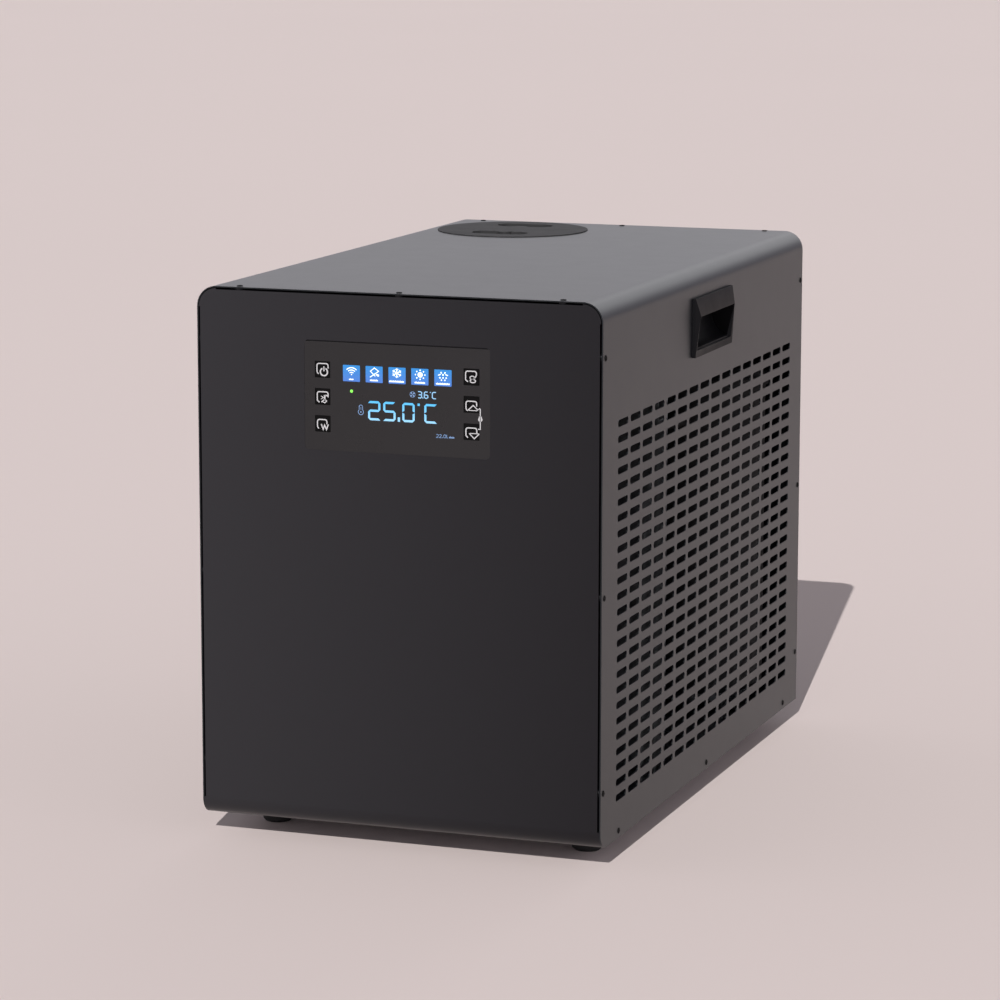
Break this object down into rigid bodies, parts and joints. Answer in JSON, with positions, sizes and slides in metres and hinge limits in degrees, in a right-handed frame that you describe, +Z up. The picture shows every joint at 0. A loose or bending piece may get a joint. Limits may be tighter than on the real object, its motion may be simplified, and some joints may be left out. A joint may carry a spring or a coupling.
{
  "type": "ice bath chiller",
  "caption": "Free-standing chiller for an ice bath: slotted sheet-metal casing, keypad display, pocket handles, screw-in filter and rear water ports.",
  "frame": {"origin": "centre of the overall box, on the floor under the feet", "axes": "+X to the right seen from the display side, +Y from the display towards the water ports, +Z up"},
  "size_m": [0.373, 0.648, 0.4788],
  "materials": {
    "casing_paint": "dark grey powder coat",
    "zinc_sheet": "zinc-coated sheet",
    "black_rubber": "moulded black rubber",
    "black_screw": "black oxide steel",
    "bright_steel": "zinc-plated steel",
    "handle_plastic": "fine-textured black plastic",
    "cap_plastic": "fine-textured dark grey plastic",
    "display_film": "satin printed film",
    "key_plastic": "satin black with white pictograms",
    "circuit_board": "green solder mask",
    "fin_aluminium": "mill finish",
    "copper": "drawn copper",
    "brass": "turned brass",
    "black_plastic": "glass-filled black plastic",
    "motor_paint": "dark grey enamel",
    "compressor_paint": "gloss black enamel",
    "exchanger_plastic": "pale grey plastic",
    "housing_plastic": "moulded dark grey plastic",
    "pleated_cloth": "pleated non-woven cloth",
    "pale_hose": "pale silicone hose",
    "impeller_plastic": "ivory plastic"
  },
  "bodies": {
    "cabinet": {"wrapper_cover": "casing_paint", "front_panel": "casing_paint", "rear_panel": "casing_paint", "base_tray": "zinc_sheet", "mid_partition": "zinc_sheet", "foot_front_left": "black_rubber", "foot_front_right": "black_rubber", "foot_rear_left": "black_rubber", "foot_rear_right": "black_rubber", "foot_screws": "bright_steel", "handle_left": "handle_plastic", "handle_right": "handle_plastic", "cover_screws": "black_screw", "display_overlay": "display_film", "display_board": "circuit_board", "condenser_fins": "fin_aluminium", "condenser_tubes": "copper", "fan_shroud": "zinc_sheet", "fan_bracket": "zinc_sheet", "fan_motor": "motor_paint", "compressor": "compressor_paint", "compressor_mounts": "black_rubber", "compressor_bolts": "bright_steel", "accumulator": "compressor_paint", "four_way_valve": "brass", "copper_pipes": "copper", "filter_drier": "copper", "heat_exchanger": "exchanger_plastic", "exchanger_stand": "zinc_sheet", "pump_motor": "motor_paint", "pump_stand": "zinc_sheet", "pump_volute": "black_plastic", "filter_housing": "housing_plastic", "water_inlet": "black_plastic", "water_outlet": "black_plastic", "union_nuts": "black_plastic", "water_hoses": "pale_hose", "flow_sensor": "black_plastic", "ozone_generator": "exchanger_plastic", "electrical_tray": "zinc_sheet", "control_board": "circuit_board", "capacitor": "fin_aluminium", "terminal_block": "exchanger_plastic", "wire_duct": "zinc_sheet", "cable_gland": "black_plastic"},
    "fan": {"fan_blade": "black_plastic", "fan_shaft": "bright_steel"},
    "pump_rotor": {"pump_impeller": "impeller_plastic", "pump_shaft": "bright_steel"},
    "cartridge": {"filter_cartridge": "pleated_cloth"},
    "cap": {"filter_cap": "cap_plastic", "cap_seal": "black_rubber"},
    "power_key": {"key_power": "key_plastic"},
    "temp_key": {"key_temp": "key_plastic"},
    "mode_key": {"key_mode": "key_plastic"},
    "set_key": {"key_set": "key_plastic"},
    "up_key": {"key_up": "key_plastic"},
    "down_key": {"key_down": "key_plastic"}
  },
  "joints": [
    {"name": "fan_spin", "type": "hinge", "parent": "cabinet", "child": "fan", "pos_m": [-0.106, 0.001, 0.20435], "axis": [1, 0, 0], "continuous": true},
    {"name": "pump_spin", "type": "hinge", "parent": "cabinet", "child": "pump_rotor", "pos_m": [-0.0865, 0.205, 0.126], "axis": [0, 0, 1], "continuous": true},
    {"name": "filter_lift", "type": "slide", "parent": "cabinet", "child": "cartridge", "axis": [0, 0, 1], "range_m": [0, 0.28]},
    {"name": "cap_turn", "type": "hinge", "parent": "cartridge", "child": "cap", "pos_m": [-0.0865, 0.205, 0.476], "axis": [0, 0, 1], "range_deg": [0, 120]},
    {"name": "power_press", "type": "slide", "parent": "cabinet", "child": "power_key", "axis": [0, 1, 0], "range_m": [0, 0.0008], "stiffness_N_per_m": 600},
    {"name": "temp_press", "type": "slide", "parent": "cabinet", "child": "temp_key", "axis": [0, 1, 0], "range_m": [0, 0.0008], "stiffness_N_per_m": 600},
    {"name": "mode_press", "type": "slide", "parent": "cabinet", "child": "mode_key", "axis": [0, 1, 0], "range_m": [0, 0.0008], "stiffness_N_per_m": 600},
    {"name": "set_press", "type": "slide", "parent": "cabinet", "child": "set_key", "axis": [0, 1, 0], "range_m": [0, 0.0008], "stiffness_N_per_m": 600},
    {"name": "up_press", "type": "slide", "parent": "cabinet", "child": "up_key", "axis": [0, 1, 0], "range_m": [0, 0.0008], "stiffness_N_per_m": 600},
    {"name": "down_press", "type": "slide", "parent": "cabinet", "child": "down_key", "axis": [0, 1, 0], "range_m": [0, 0.0008], "stiffness_N_per_m": 600}
  ]
}
